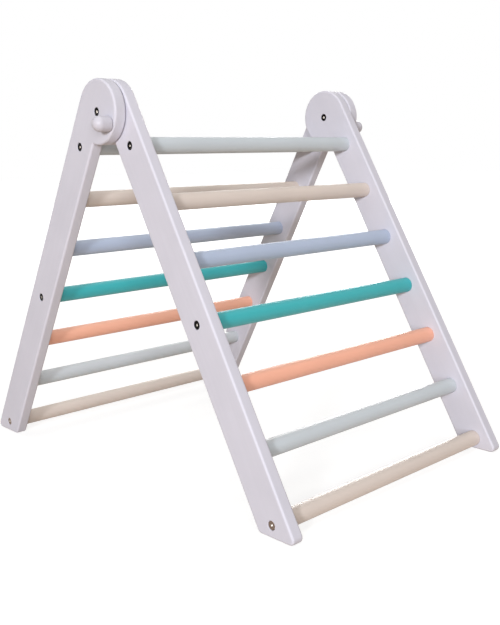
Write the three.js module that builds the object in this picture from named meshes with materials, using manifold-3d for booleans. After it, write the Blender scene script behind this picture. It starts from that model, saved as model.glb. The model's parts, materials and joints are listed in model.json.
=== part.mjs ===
// A folding climbing triangle for small children: two ladders of round rungs, hinged at the top.
// Millimetres, +Z up. The origin is on the floor, under the middle of the pivot line.
// The front ladder leans towards -Y. The rear ladder leans towards +Y and is wider, so that its
// rails lie outside the front ladder's. Left is -X and right is +X on both.

import * as THREE from 'three';
import { mergeVertices } from 'three/addons/utils/BufferGeometryUtils.js';
import Module from 'manifold-3d';

const wasm = await Module();
wasm.setup();

const degree = Math.PI / 180;

// Stance of the open triangle
const pivotHeight = 663.5;
const leanAngle = 29.8 * degree;
const innerWidth = 540; // between the front rails
const closedAngle = 5 * degree; // left between the two ladders when they are folded

// Clearance between pieces that touch, and how far a cutter runs past a face
const clearance = 0.3;
const overrun = 1;

// Rails: flat boards with a round head at the pivot and a foot cut level with the floor
const railThickness = 23;
const railWidth = 71;
const headRadius = 57.5;
const edgeRadius = 4;
const footRadius = 9;
const headSegments = 36;
const footSegments = 4;
const edgeSegments = 2;

// Rungs: round bars set in blind sockets in the inner faces of the rails
const rungDiameter = 30;
const rungCount = 7;
const firstRungDrop = 81; // from the pivot, along the rail
const lastRungHeight = 21; // of its centre, above the floor
const socketDepth = 12;
const rungChamfer = 1.5;
const rungSegments = 20;

// Screws that hold the first rung, and every third one after it, through each rail
const screwStep = 3;
const screwLength = 52; // below the head
const screwDiameter = 6;
const screwTip = 5;
const screwHeadDiameter = 15;
const screwHeadHeight = 2.5;
const screwHeadRecess = 1;
const screwKey = 4;
const screwKeyDepth = 3;
const headChamfer = 0.6;
const fastenerSegments = 12;

// Pivot: a bolt from outside, a sleeve nut from inside and a washer between the two rails
const pivotBoltDiameter = 8;
const pivotHeadDiameter = 15;
const pivotHeadHeight = 2.5;
const pivotHeadRecess = 1;
const pivotKey = 5;
const pivotKeyDepth = 3.2;
const sleeveDiameter = 11.5;
const sleeveLength = 17;
const sleeveFloor = 5; // solid metal of the nut between its key socket and its bore
const pivotWasherDiameter = 26;
const pivotWasherThickness = 1;

// Lock: a round-ended knob on a threaded stud, which runs in an insert in the rear rail's head.
// The tip of the stud slides in a curved groove in the front rail's head.
const lockDrop = 38; // from the pivot, along the front rail
const knobDiameter = 27;
const knobLength = 31;
const knobChamfer = 1; // round its base
const knobBoreDepth = 14;
const knobSegments = 20;
const knobArcSteps = 6; // from its side to the tip of its round end
const lockWasherDiameter = 16;
const lockWasherThickness = 1;
const studDiameter = 8;
const studChamfer = 1;
const insertDiameter = 12;
const insertFlangeDiameter = 16;
const insertFlangeThickness = 1.5;
const insertLength = 20;
const grooveDepth = 8;
const grooveSpareAngle = 1 * degree; // past the folded position
const grooveSegments = 8;

// Sizes that follow from the ones above
const railGap = pivotWasherThickness + 2 * clearance;
const frontInner = innerWidth / 2;
const rearInner = frontInner + railThickness + railGap;
const railInnerEdge = headRadius - railWidth;
const railCentre = headRadius - railWidth / 2;
const rungRadius = rungDiameter / 2;
const lastRungDrop = (pivotHeight + railCentre * Math.sin(leanAngle) - lastRungHeight) / Math.cos(leanAngle);
const rungPitch = (lastRungDrop - firstRungDrop) / (rungCount - 1);
const lockRadius = Math.hypot(lockDrop, railCentre);
const frontLockAngle = Math.atan2(railCentre, lockDrop);
const rearLockAngle = frontLockAngle + 2 * leanAngle;
const foldAngle = 2 * leanAngle - closedAngle;

const paint = {
  white: 0xeceaf2,
  mint: 0xd3dcda,
  cream: 0xe6d8cd,
  sky: 0xbcc6dc,
  teal: 0x46bfb8,
  coral: 0xf9b296,
};
const rungPaints = ['mint', 'cream', 'sky', 'teal', 'coral', 'mint', 'cream'];
const sides = [['left', -1], ['right', 1]];

function painted(colour) {
  return new THREE.MeshStandardMaterial({ color: paint[colour], roughness: 0.45, metalness: 0 });
}

function blackSteel() {
  return new THREE.MeshStandardMaterial({ color: 0x2a2828, roughness: 0.35, metalness: 1 });
}

function platedSteel() {
  return new THREE.MeshStandardMaterial({ color: 0xb9b9bd, roughness: 0.3, metalness: 1 });
}

function nylon() {
  return new THREE.MeshStandardMaterial({ color: 0xf0f0ee, roughness: 0.5, metalness: 0 });
}

// Closed three.js geometry to a solid that can be cut and joined
function solid(geometry) {
  geometry.deleteAttribute('normal');
  geometry.deleteAttribute('uv');
  const merged = mergeVertices(geometry);
  const vertProperties = new Float32Array(merged.attributes.position.array);
  const triVerts = new Uint32Array(merged.index.array);
  return new wasm.Manifold(new wasm.Mesh({ numProp: 3, vertProperties, triVerts }));
}

// A cut or joined solid back to three.js geometry, with flat faces
function geometryOf(manifold) {
  const { vertProperties, triVerts } = manifold.getMesh();
  const geometry = new THREE.BufferGeometry();
  geometry.setAttribute('position', new THREE.BufferAttribute(vertProperties, 3));
  geometry.setIndex(new THREE.BufferAttribute(triVerts, 1));
  geometry.computeVertexNormals();
  return geometry;
}

// Turn a shape drawn in (Y, Z) and pulled along its own depth so that the depth lies along +X
const depthAlongX = new THREE.Matrix4().makeBasis(
  new THREE.Vector3(0, 1, 0),
  new THREE.Vector3(0, 0, 1),
  new THREE.Vector3(1, 0, 0),
);

// A round bar along X from one x to another, about the axis through (y, z)
function barAlongX(radius, fromX, toX, y, z, segments) {
  const bar = new THREE.CylinderGeometry(radius, radius, Math.abs(toX - fromX), segments);
  return bar.rotateZ(-Math.PI / 2).translate((fromX + toX) / 2, y, z);
}

// A turned piece along X: the profile's points are (radius, x)
function turnedAlongX(points, segments) {
  const profile = points.map(([radius, x]) => new THREE.Vector2(radius, x));
  return new THREE.LatheGeometry(profile, segments).rotateZ(-Math.PI / 2);
}

// Six-sided key socket, open at its high end
function keySocket(key, fromX, toX) {
  const cornerRadius = key / Math.sqrt(3);
  return solid(barAlongX(cornerRadius, fromX, toX + overrun, 0, 0, 6));
}

// Places in a ladder that hangs straight down from the pivot. Facing is -1 where the climbing side
// is towards -Y and +1 where it is towards +Y, and out is measured towards the climbing side.
function rungPlace(index, facing) {
  return { y: facing * railCentre, z: -(firstRungDrop + index * rungPitch) };
}

function isScrewed(index) {
  return index % screwStep === 0;
}

function lockPlace(angle, towards) {
  return { y: towards * lockRadius * Math.sin(angle), z: -lockRadius * Math.cos(angle) };
}

// Where the floor meets a line down the hanging ladder, once the ladder leans
function floorLine(out) {
  return -(pivotHeight + out * Math.sin(leanAngle)) / Math.cos(leanAngle);
}

// A round corner of an outline: points from one tangent point to the other
function roundCorner(before, corner, after, radius, segments) {
  const back = before.clone().sub(corner).normalize();
  const ahead = after.clone().sub(corner).normalize();
  const half = Math.acos(back.dot(ahead)) / 2;
  const centre = back.clone().add(ahead).normalize().multiplyScalar(radius / Math.sin(half)).add(corner);
  const tangent = radius / Math.tan(half);
  const start = back.multiplyScalar(tangent).add(corner).sub(centre);
  const end = ahead.multiplyScalar(tangent).add(corner).sub(centre);
  const turn = Math.atan2(start.cross(end), start.dot(end));
  const points = [];
  for (let step = 0; step <= segments; step += 1) {
    points.push(start.clone().rotateAround(new THREE.Vector2(), (turn * step) / segments).add(centre));
  }
  return points;
}

// Outline of a rail as (out, z): round head about the pivot, straight board, level foot.
// The climbing edge is tangent to the head. The inner edge meets it in a sharp notch.
function railOutline() {
  const notchAngle = 2 * Math.PI - Math.acos(railInnerEdge / headRadius);
  const points = [];
  for (let step = 0; step <= headSegments; step += 1) {
    const angle = (notchAngle * step) / headSegments;
    points.push(new THREE.Vector2(headRadius * Math.cos(angle), headRadius * Math.sin(angle)));
  }
  const notch = points[points.length - 1];
  const heel = new THREE.Vector2(railInnerEdge, floorLine(railInnerEdge));
  const toe = new THREE.Vector2(headRadius, floorLine(headRadius));
  points.push(...roundCorner(notch, heel, toe, footRadius, footSegments));
  points.push(...roundCorner(heel, toe, points[0], footRadius, footSegments));
  return points;
}

// A shape in (Y, Z) from points given as (out, z)
function shapeOf(points, facing) {
  return new THREE.Shape(points.map((point) => new THREE.Vector2(facing * point.x, point.y)));
}

// The blank of a rail, with its inner face at x = 0 and its outer face towards side
function railBlank(side, facing) {
  const blank = new THREE.ExtrudeGeometry(shapeOf(railOutline(), facing), {
    depth: railThickness - 2 * edgeRadius,
    bevelThickness: edgeRadius,
    bevelSize: edgeRadius,
    bevelOffset: -edgeRadius,
    bevelSegments: edgeSegments,
  });
  const middle = (side * railThickness) / 2 - railThickness / 2;
  blank.translate(0, 0, edgeRadius).applyMatrix4(depthAlongX).translate(middle, 0, 0);
  return solid(blank);
}

// Cutters for the rungs' sockets and for the screws that pass through the rail into them
function rungCutters(side, facing) {
  const cutters = [];
  const outerFace = side * railThickness;
  for (let index = 0; index < rungCount; index += 1) {
    const { y, z } = rungPlace(index, facing);
    const socketEnd = side * (socketDepth + clearance);
    const socketRadius = rungRadius + clearance;
    cutters.push(solid(barAlongX(socketRadius, -side * overrun, socketEnd, y, z, rungSegments)));
    if (isScrewed(index)) {
      const headSeat = outerFace - side * (screwHeadRecess + screwHeadHeight + clearance);
      const shankRadius = screwDiameter / 2 + clearance;
      const headRoom = screwHeadDiameter / 2 + clearance;
      const past = outerFace + side * overrun;
      cutters.push(solid(barAlongX(shankRadius, 0, past, y, z, fastenerSegments)));
      cutters.push(solid(barAlongX(headRoom, headSeat, past, y, z, fastenerSegments)));
    }
  }
  return cutters;
}

// Cutters for the pivot: the fastener's bore right through, and a seat for its head in one face
function pivotCutters(side, boreRadius, headFace, intoRail) {
  const seat = headFace + intoRail * (pivotHeadRecess + pivotHeadHeight + clearance);
  const past = headFace - intoRail * overrun;
  const headRoom = pivotHeadDiameter / 2 + clearance;
  return [
    solid(barAlongX(boreRadius, -side * overrun, side * (railThickness + overrun), 0, 0, fastenerSegments)),
    solid(barAlongX(headRoom, seat, past, 0, 0, fastenerSegments)),
  ];
}

// Outline of the curved groove as (out, z), round at both ends
function grooveOutline() {
  const halfWidth = studDiameter / 2 + clearance;
  const start = frontLockAngle - Math.PI / 2;
  const end = start + foldAngle + grooveSpareAngle;
  const shape = new THREE.Shape();
  const endCentre = new THREE.Vector2(lockRadius, 0).rotateAround(new THREE.Vector2(), end);
  const startCentre = new THREE.Vector2(lockRadius, 0).rotateAround(new THREE.Vector2(), start);
  shape.absarc(0, 0, lockRadius + halfWidth, start, end);
  shape.absarc(endCentre.x, endCentre.y, halfWidth, end, end + Math.PI);
  shape.absarc(0, 0, lockRadius - halfWidth, end, start, true);
  shape.absarc(startCentre.x, startCentre.y, halfWidth, start + Math.PI, start);
  return shape.getPoints(grooveSegments);
}

// The groove for the stud's tip, in the outer face of a front rail's head.
// Its end wall stops the ladders from opening further than they stand.
function grooveCutter(side, facing) {
  const cutter = new THREE.ExtrudeGeometry(shapeOf(grooveOutline(), facing), {
    depth: grooveDepth + overrun,
    bevelEnabled: false,
  });
  const fromX = side > 0 ? railThickness - grooveDepth : -railThickness - overrun;
  return solid(cutter.applyMatrix4(depthAlongX).translate(fromX, 0, 0));
}

// The insert's bore and the seat of its flange, in a rear rail's head
function insertCutters(side, facing) {
  const { y, z } = lockPlace(rearLockAngle, -facing);
  const boreRadius = insertDiameter / 2 + clearance;
  const flangeRadius = insertFlangeDiameter / 2 + clearance;
  const flangeSeat = side * (insertFlangeThickness + clearance);
  const past = -side * overrun;
  return [
    solid(barAlongX(boreRadius, past, side * (railThickness + overrun), y, z, fastenerSegments)),
    solid(barAlongX(flangeRadius, past, flangeSeat, y, z, fastenerSegments)),
  ];
}

function frontRail(side, facing) {
  const sleeveRoom = sleeveDiameter / 2 + clearance;
  const cutters = [
    ...rungCutters(side, facing),
    ...pivotCutters(side, sleeveRoom, 0, side),
    grooveCutter(side, facing),
  ];
  return geometryOf(cutters.reduce((rail, cutter) => rail.subtract(cutter), railBlank(side, facing)));
}

function rearRail(side, facing) {
  const boltRoom = pivotBoltDiameter / 2 + clearance;
  const cutters = [
    ...rungCutters(side, facing),
    ...pivotCutters(side, boltRoom, side * railThickness, -side),
    ...insertCutters(side, facing),
  ];
  return geometryOf(cutters.reduce((rail, cutter) => rail.subtract(cutter), railBlank(side, facing)));
}

// A rung, turned from a round bar, with a bore in each end where a screw enters
function rungGeometry(innerHalf, screwed) {
  const half = innerHalf + socketDepth;
  const seatToRungEnd = railThickness - socketDepth - screwHeadRecess - screwHeadHeight;
  const boreRadius = screwDiameter / 2 + clearance;
  const boreDepth = screwLength - seatToRungEnd + clearance;
  const end = [
    [rungRadius - rungChamfer, half],
    [rungRadius, half - rungChamfer],
  ];
  const bore = [
    [0, half - boreDepth],
    [boreRadius, half - boreDepth],
    [boreRadius, half],
  ];
  const upper = screwed ? [...bore, ...end] : [[0, half], ...end];
  const lower = upper.map(([radius, x]) => [radius, -x]);
  return turnedAlongX([...lower, ...upper.reverse()], rungSegments);
}

// A flat-headed screw or bolt along X: the head's under face is at x = 0, its shank runs to -X
function headedShank(shankRadius, length, tip, headRadiusHere, headHeight, key, keyDepth) {
  const profile = [
    [0, -length],
    [shankRadius - tip.narrowing, -length],
    [shankRadius, tip.length - length],
    [shankRadius, 0],
    [headRadiusHere, 0],
    [headRadiusHere, headHeight - headChamfer],
    [headRadiusHere - headChamfer, headHeight],
    [0, headHeight],
  ];
  const blank = solid(turnedAlongX(profile, fastenerSegments));
  return geometryOf(blank.subtract(keySocket(key, headHeight - keyDepth, headHeight)));
}

function rungScrew() {
  const tip = { narrowing: screwDiameter / 3, length: screwTip };
  const head = screwHeadDiameter / 2;
  return headedShank(screwDiameter / 2, screwLength, tip, head, screwHeadHeight, screwKey, screwKeyDepth);
}

// The pivot bolt reaches through the rear rail and the washer into the sleeve nut's bore
function pivotBolt() {
  const throughRearRail = railThickness - pivotHeadRecess - pivotHeadHeight;
  const sleeveMouth = pivotHeadRecess + pivotHeadHeight + sleeveLength;
  const intoSleeve = sleeveLength - sleeveFloor - clearance;
  const length = throughRearRail + railGap + (railThickness - sleeveMouth) + intoSleeve;
  const tip = { narrowing: headChamfer, length: headChamfer };
  const head = pivotHeadDiameter / 2;
  return headedShank(pivotBoltDiameter / 2, length, tip, head, pivotHeadHeight, pivotKey, pivotKeyDepth);
}

// The sleeve nut: its head is like the bolt's, and its sleeve has a bore for the bolt.
// The head's under face is at x = 0 and the sleeve runs to -X.
function pivotNut() {
  const head = pivotHeadDiameter / 2;
  const boreRadius = pivotBoltDiameter / 2 + clearance;
  const profile = [
    [0, -sleeveFloor],
    [boreRadius, -sleeveFloor],
    [boreRadius, -sleeveLength],
    [sleeveDiameter / 2, -sleeveLength],
    [sleeveDiameter / 2, 0],
    [head, 0],
    [head, pivotHeadHeight - headChamfer],
    [head - headChamfer, pivotHeadHeight],
    [0, pivotHeadHeight],
  ];
  const blank = solid(turnedAlongX(profile, fastenerSegments));
  return geometryOf(blank.subtract(keySocket(pivotKey, pivotHeadHeight - pivotKeyDepth, pivotHeadHeight)));
}

function ringGeometry(innerRadius, outerRadius, thickness, segments) {
  const half = thickness / 2;
  const profile = [
    [innerRadius, -half],
    [outerRadius, -half],
    [outerRadius, half],
    [innerRadius, half],
    [innerRadius, -half],
  ];
  return turnedAlongX(profile, segments);
}

// Knob: its base is at x = 0, with the stud's bore in it, and its round end is towards +X
function knobGeometry() {
  const radius = knobDiameter / 2;
  const boreRadius = studDiameter / 2 + clearance;
  const profile = [
    [0, knobBoreDepth],
    [boreRadius, knobBoreDepth],
    [boreRadius, 0],
    [radius - knobChamfer, 0],
    [radius, knobChamfer],
  ];
  for (let step = 0; step < knobArcSteps; step += 1) {
    const angle = (Math.PI * step) / (2 * knobArcSteps);
    profile.push([radius * Math.cos(angle), knobLength - radius + radius * Math.sin(angle)]);
  }
  profile.push([0, knobLength]);
  return turnedAlongX(profile, knobSegments);
}

// The stud: x = 0 is the plane of the knob's base, and the stud runs to -X through the washer, the
// rear rail and the gap into the groove
function studGeometry() {
  const radius = studDiameter / 2;
  const inKnob = knobBoreDepth - clearance;
  const underKnob = lockWasherThickness + 2 * clearance;
  const length = underKnob + railThickness + railGap + grooveDepth - clearance;
  const profile = [
    [0, -length],
    [radius - studChamfer, -length],
    [radius, studChamfer - length],
    [radius, inKnob - studChamfer],
    [radius - studChamfer, inKnob],
    [0, inKnob],
  ];
  return turnedAlongX(profile, fastenerSegments);
}

// The threaded insert: its flange's face is at x = 0, in the rear rail's inner face, and its barrel
// runs to +X
function insertGeometry() {
  const boreRadius = studDiameter / 2 + clearance;
  const profile = [
    [boreRadius, 0],
    [insertFlangeDiameter / 2, 0],
    [insertFlangeDiameter / 2, insertFlangeThickness],
    [insertDiameter / 2, insertFlangeThickness],
    [insertDiameter / 2, insertLength],
    [boreRadius, insertLength],
    [boreRadius, 0],
  ];
  return turnedAlongX(profile, fastenerSegments);
}

function named(name, geometry, material) {
  const mesh = new THREE.Mesh(geometry, material);
  mesh.name = name;
  return mesh;
}

// Pieces are turned about Z, so that what points along +X points away from the middle
function facingOut(mesh, side) {
  mesh.rotation.z = side < 0 ? Math.PI : 0;
  return mesh;
}

function facingIn(mesh, side) {
  return facingOut(mesh, -side);
}

// One ladder, hanging straight down from the pivot
function ladder(ladderName, facing, innerHalf, railGeometry) {
  const group = new THREE.Group();
  for (const [sideName, side] of sides) {
    const rail = named(`${ladderName}_rail_${sideName}`, railGeometry(side, facing), painted('white'));
    rail.position.x = side * innerHalf;
    group.add(rail);
  }
  for (let index = 0; index < rungCount; index += 1) {
    const { y, z } = rungPlace(index, facing);
    const number = index + 1;
    const geometry = rungGeometry(innerHalf, isScrewed(index));
    const colour = rungPaints[index % rungPaints.length];
    const rung = named(`${ladderName}_rung_${number}`, geometry, painted(colour));
    rung.position.set(0, y, z);
    group.add(rung);
    if (isScrewed(index)) {
      const steel = number === rungCount ? platedSteel : blackSteel;
      for (const [sideName, side] of sides) {
        const screw = named(`${ladderName}_screw_${number}_${sideName}`, rungScrew(), steel());
        const headSeat = innerHalf + railThickness - screwHeadRecess - screwHeadHeight;
        screw.position.set(side * headSeat, y, z);
        group.add(facingOut(screw, side));
      }
    }
  }
  return group;
}

// Bolts, nuts and washers of the pivot, on the front ladder's rails
function addPivot(group) {
  const headDepth = pivotHeadRecess + pivotHeadHeight;
  const washerBore = pivotBoltDiameter / 2 + clearance;
  const washerRadius = pivotWasherDiameter / 2;
  for (const [sideName, side] of sides) {
    const bolt = named(`pivot_bolt_${sideName}`, pivotBolt(), blackSteel());
    bolt.position.x = side * (rearInner + railThickness - headDepth);
    group.add(facingOut(bolt, side));
    const nut = named(`pivot_nut_${sideName}`, pivotNut(), blackSteel());
    nut.position.x = side * (frontInner + headDepth);
    group.add(facingIn(nut, side));
    const washerRing = ringGeometry(washerBore, washerRadius, pivotWasherThickness, rungSegments);
    const washer = named(`pivot_washer_${sideName}`, washerRing, nylon());
    washer.position.x = side * (rearInner - railGap / 2);
    group.add(washer);
  }
}

// Knob, stud, washer and insert of each lock, on the rear ladder's rails
function addLocks(group, facing) {
  const { y, z } = lockPlace(rearLockAngle, -facing);
  const washerBore = studDiameter / 2 + clearance;
  const washerRadius = lockWasherDiameter / 2;
  const outerFace = rearInner + railThickness;
  for (const [sideName, side] of sides) {
    const washerRing = ringGeometry(washerBore, washerRadius, lockWasherThickness, fastenerSegments);
    const washer = named(`lock_washer_${sideName}`, washerRing, platedSteel());
    washer.position.set(side * (outerFace + clearance + lockWasherThickness / 2), y, z);
    group.add(washer);
    const base = side * (outerFace + lockWasherThickness + 2 * clearance);
    const knob = named(`lock_knob_${sideName}`, knobGeometry(), painted('white'));
    knob.position.set(base, y, z);
    group.add(facingOut(knob, side));
    const stud = named(`lock_stud_${sideName}`, studGeometry(), platedSteel());
    stud.position.set(base, y, z);
    group.add(facingOut(stud, side));
    const insert = named(`lock_insert_${sideName}`, insertGeometry(), platedSteel());
    insert.position.set(side * rearInner, y, z);
    group.add(facingOut(insert, side));
  }
}

const frontFacing = -1;
const rearFacing = 1;
const frontLadder = ladder('front', frontFacing, frontInner, frontRail);
addPivot(frontLadder);
frontLadder.rotation.x = frontFacing * leanAngle;

const rearLadder = ladder('rear', rearFacing, rearInner, rearRail);
addLocks(rearLadder, rearFacing);
rearLadder.rotation.x = rearFacing * leanAngle;

const climbingTriangle = new THREE.Group();
climbingTriangle.name = 'climbing_triangle';
climbingTriangle.add(frontLadder, rearLadder);
climbingTriangle.position.z = pivotHeight;

export default climbingTriangle;
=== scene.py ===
# Folding climbing triangle: two painted ladders hinged at the top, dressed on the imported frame.
# Metres, +Z up, -Y towards the front ladder. Left is -X.

import json
import math

import bmesh
import bpy
from mathutils import Matrix, Vector


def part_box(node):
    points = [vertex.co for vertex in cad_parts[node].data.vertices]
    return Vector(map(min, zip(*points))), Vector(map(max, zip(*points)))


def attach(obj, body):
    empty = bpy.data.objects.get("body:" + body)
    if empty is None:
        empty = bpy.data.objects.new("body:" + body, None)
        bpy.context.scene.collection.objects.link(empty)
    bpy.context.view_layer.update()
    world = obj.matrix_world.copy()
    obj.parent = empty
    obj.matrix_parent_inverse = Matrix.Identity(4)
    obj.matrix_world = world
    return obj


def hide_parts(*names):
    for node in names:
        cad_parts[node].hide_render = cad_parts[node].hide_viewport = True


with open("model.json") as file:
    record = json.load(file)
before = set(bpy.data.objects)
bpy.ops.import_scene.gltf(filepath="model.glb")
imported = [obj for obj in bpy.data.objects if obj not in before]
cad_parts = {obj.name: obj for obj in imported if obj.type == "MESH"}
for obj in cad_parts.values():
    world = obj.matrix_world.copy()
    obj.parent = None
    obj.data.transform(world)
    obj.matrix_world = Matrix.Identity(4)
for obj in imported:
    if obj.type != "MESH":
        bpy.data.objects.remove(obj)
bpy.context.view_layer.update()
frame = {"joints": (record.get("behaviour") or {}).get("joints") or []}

MM = 0.001
joints = {joint["name"]: joint for joint in frame["joints"]}
ladders = {"front": -1, "rear": 1}  # the side that each ladder leans and faces to, along Y
sides = {"left": -1, "right": 1}

# Stance, from the frame
pivot = Vector(joints["fold"]["pos_m"])
lean_angle = math.radians(29.8)
fold_angle = -math.radians(joints["fold"]["range_deg"][0])

# Rails: a board with a round head about the pivot
head_radius = 57.5 * MM
head_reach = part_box("front_rail_right")[1].z - pivot.z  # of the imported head, which has flat facets
rail_width = 71 * MM
rail_inner_edge = head_radius - rail_width
rail_centre = head_radius - rail_width / 2
edge_radius = 4 * MM
edge_steps = 6
foot_radius = 9 * MM
head_sides = 120

# Rungs, from the pivot down the ladder
rung_count = 7
screw_step = 3
first_rung_drop = 81 * MM
last_rung_height = 21 * MM
last_rung_drop = (pivot.z + rail_centre * math.sin(lean_angle) - last_rung_height) / math.cos(lean_angle)
rung_pitch = (last_rung_drop - first_rung_drop) / (rung_count - 1)
rung_radius = 15 * MM
rung_chamfer = 1.5 * MM
rung_sides = 72
socket_depth = 12 * MM
rung_paints = ("mint", "cream", "sky", "teal", "coral", "mint", "cream")

# Fits and edges
fit_gap = 0.3 * MM
glue_line = 0.08 * MM
mouth_chamfer = 0.5 * MM
overrun = 1 * MM
turned_sides = 48
fine_steps = 3  # of a small rounding
rim_steps = 4  # of a rim that shows
smooth_limit = math.radians(32)
same_place = 0.01 * MM
merge_distance = 0.001 * MM

# Screws through the rails
head_recess = 1 * MM
screw_head_radius = 7.5 * MM
screw_head_height = 2.5 * MM
screw_radius = 3 * MM
screw_length = 52 * MM
screw_tip = 5 * MM
screw_key = 4 * MM
key_depth = 2.1 * MM
key_sides = 6
key_tip = 0.9 * MM
head_edge = 0.7 * MM
key_tip_share = 0.1  # what the drilled bottom keeps of the socket's width
screw_tip_share = 0.3  # what a wood screw's tip keeps of its width
# The painted highlight in a drive socket: how far it reaches and where it stops
socket_reach_share = 0.75  # of the key's size, a little over the socket's corners
socket_rim_share = 3 / 8  # of the head's eased edge: the painted highlight stops short of the socket's mouth

# Pivot: bolt, sleeve nut and washer
pivot_key = 5 * MM
bolt_radius = 4 * MM
sleeve_radius = 5.75 * MM
sleeve_length = 17 * MM
sleeve_floor = 5 * MM
washer_edge = 0.2 * MM
washer_steps = 2

# Lock: round-ended knob, stud, washer and insert
lock_drop = 38 * MM
lock_radius = math.hypot(lock_drop, rail_centre)
front_lock_angle = math.atan2(rail_centre, lock_drop)
groove_spare = math.radians(1)
groove_depth = 8 * MM
groove_steps = 28
knob_radius = 13.5 * MM
knob_edge = 1 * MM
knob_sides = 64
knob_bore_depth = 14 * MM
stud_radius = 4 * MM
thread_depth = 0.6 * MM
thread_pitch = 1.25 * MM
thread_sides = 32
thread_flat_share = 1 / 8  # of the pitch, at the root and at the crest
thread_flank_share = 3 / 8
thread_merge_distance = 0.002 * MM
stud_tip_share = 0.8
faces_down = -0.9  # the Z of a face's direction, under which it looks down
insert_radius = 6 * MM
insert_flange_radius = 8 * MM
insert_flange_thickness = 1.5 * MM
insert_length = 20 * MM


# Tools of the modelling bench

def deselect_all():
    bpy.ops.object.select_all(action="DESELECT")


def take(piece):
    """Makes a piece the only one selected, and the active one."""
    deselect_all()
    piece.select_set(True)
    bpy.context.view_layer.objects.active = piece


def settle(piece):
    """Puts a piece's place and turn into its mesh, so that its object sits at the origin."""
    take(piece)
    bpy.ops.object.transform_apply(location=True, rotation=True, scale=True)
    return piece


def shape(piece):
    take(piece)
    bpy.ops.object.mode_set(mode="EDIT")


def done():
    bpy.ops.object.mode_set(mode="OBJECT")


def pick(piece, kind, wanted):
    """In edit mode, selects the elements of one kind that are wanted, and nothing else."""
    bpy.ops.mesh.select_mode(type=kind)
    bpy.ops.mesh.select_all(action="DESELECT")
    mesh = bmesh.from_edit_mesh(piece.data)
    elements = {"VERT": mesh.verts, "EDGE": mesh.edges, "FACE": mesh.faces}[kind]
    for element in elements:
        if wanted(element):
            element.select_set(True)
    mesh.select_flush_mode()
    bmesh.update_edit_mesh(piece.data)


def near(a, b, room=same_place):
    return abs(a - b) < room


def extrude(x, y, z):
    bpy.ops.mesh.extrude_region_move(TRANSFORM_OT_translate={"value": (x, y, z)})


def copied(piece, name):
    twin = piece.copy()
    twin.data = piece.data.copy()
    twin.name = name
    bpy.context.scene.collection.objects.link(twin)
    return twin


def mirrored(piece, name):
    """The same piece for the left side."""
    twin = copied(piece, name)
    twin.scale = (-1, 1, 1)
    return settle(twin)


def cut(piece, cutter):
    """Takes the cutter's shape out of a piece, and the cutter away."""
    take(piece)
    modifier = piece.modifiers.new("cut", "BOOLEAN")
    modifier.operation = "DIFFERENCE"
    modifier.solver = "MANIFOLD"
    modifier.object = cutter
    bpy.ops.object.modifier_apply(modifier=modifier.name)
    bpy.data.objects.remove(cutter)


def joined(pieces, name):
    deselect_all()
    for piece in pieces:
        piece.select_set(True)
    bpy.context.view_layer.objects.active = pieces[0]
    bpy.ops.object.join()
    pieces[0].name = name
    return pieces[0]


def merge_and_face_out(piece):
    shape(piece)
    bpy.ops.mesh.select_mode(type="VERT")
    bpy.ops.mesh.select_all(action="SELECT")
    bpy.ops.mesh.remove_doubles(threshold=merge_distance)
    bpy.ops.mesh.normals_make_consistent(inside=False)
    done()


def smooth_faces(piece):
    """Smooth shading up to an angle, with the flat faces kept flat beside their round edges."""
    take(piece)
    bpy.ops.object.shade_smooth_by_angle(angle=smooth_limit)
    modifier = piece.modifiers.new("even shading", "WEIGHTED_NORMAL")
    modifier.keep_sharp = True
    bpy.ops.object.modifier_apply(modifier=modifier.name)


def turned(name, stations, turning_sides=turned_sides):
    """A piece turned about Z from stations of (radius, z), with flat ends or closed on itself."""
    radius, place = stations[0]
    bpy.ops.mesh.primitive_circle_add(vertices=turning_sides, radius=radius, location=(0, 0, place))
    piece = bpy.context.object
    piece.name = name
    settle(piece)
    shape(piece)
    bpy.ops.mesh.select_mode(type="EDGE")
    bpy.ops.mesh.select_all(action="SELECT")
    for next_radius, next_place in stations[1:]:
        extrude(0, 0, next_place - place)
        size = next_radius / radius
        bpy.ops.transform.resize(value=(size, size, 1), center_override=(0, 0, next_place))
        radius, place = next_radius, next_place
    bpy.ops.mesh.select_all(action="SELECT")
    bpy.ops.mesh.remove_doubles(threshold=merge_distance)
    bpy.ops.mesh.fill_holes(sides=0)
    bpy.ops.mesh.select_all(action="SELECT")
    bpy.ops.mesh.normals_make_consistent(inside=False)
    done()
    return piece


def round_rings(piece, rings, size, steps=fine_steps):
    """Rounds the edges of a turned piece that run round it at the given (radius, z)."""
    def on_ring(edge):
        return any(
            all(near(corner.co.xy.length, radius) and near(corner.co.z, place) for corner in edge.verts)
            for radius, place in rings
        )
    shape(piece)
    pick(piece, "EDGE", on_ring)
    bpy.ops.mesh.bevel(offset=size, segments=steps, affect="EDGES")
    done()


def point_out(piece, side, x, y=0.0, z=0.0):
    """Turns a piece made about Z so that its top points away from the middle, and sets it at x, y, z."""
    piece.rotation_euler = (0, side * math.pi / 2, 0)
    piece.location = (x, y, z)
    return settle(piece)


def lean(piece, ladder):
    """Moves a piece that was made in a ladder hanging from the origin to that ladder's stance."""
    piece.rotation_euler = (ladders[ladder] * lean_angle, 0, 0)
    piece.location = pivot
    return settle(piece)


# Places in a hanging ladder

def is_screwed(index):
    return index % screw_step == 0


def rung_place(ladder, index):
    return ladders[ladder] * rail_centre, -(first_rung_drop + index * rung_pitch)


def floor_drop(out):
    """How far down a hanging ladder the floor meets a line that lies this far out."""
    return (pivot.z + out * math.sin(lean_angle)) / math.cos(lean_angle)


def rail_faces(ladder):
    """Where the inner and outer faces of a right-hand rail are, from the frame."""
    low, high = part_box(f"{ladder}_rail_right")
    return low.x, high.x


# Rails

def draw_to(here, there):
    """Carries the end of an outline from one (y, z) to another."""
    extrude(0, there.y - here.y, there.z - here.z)
    return there


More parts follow.
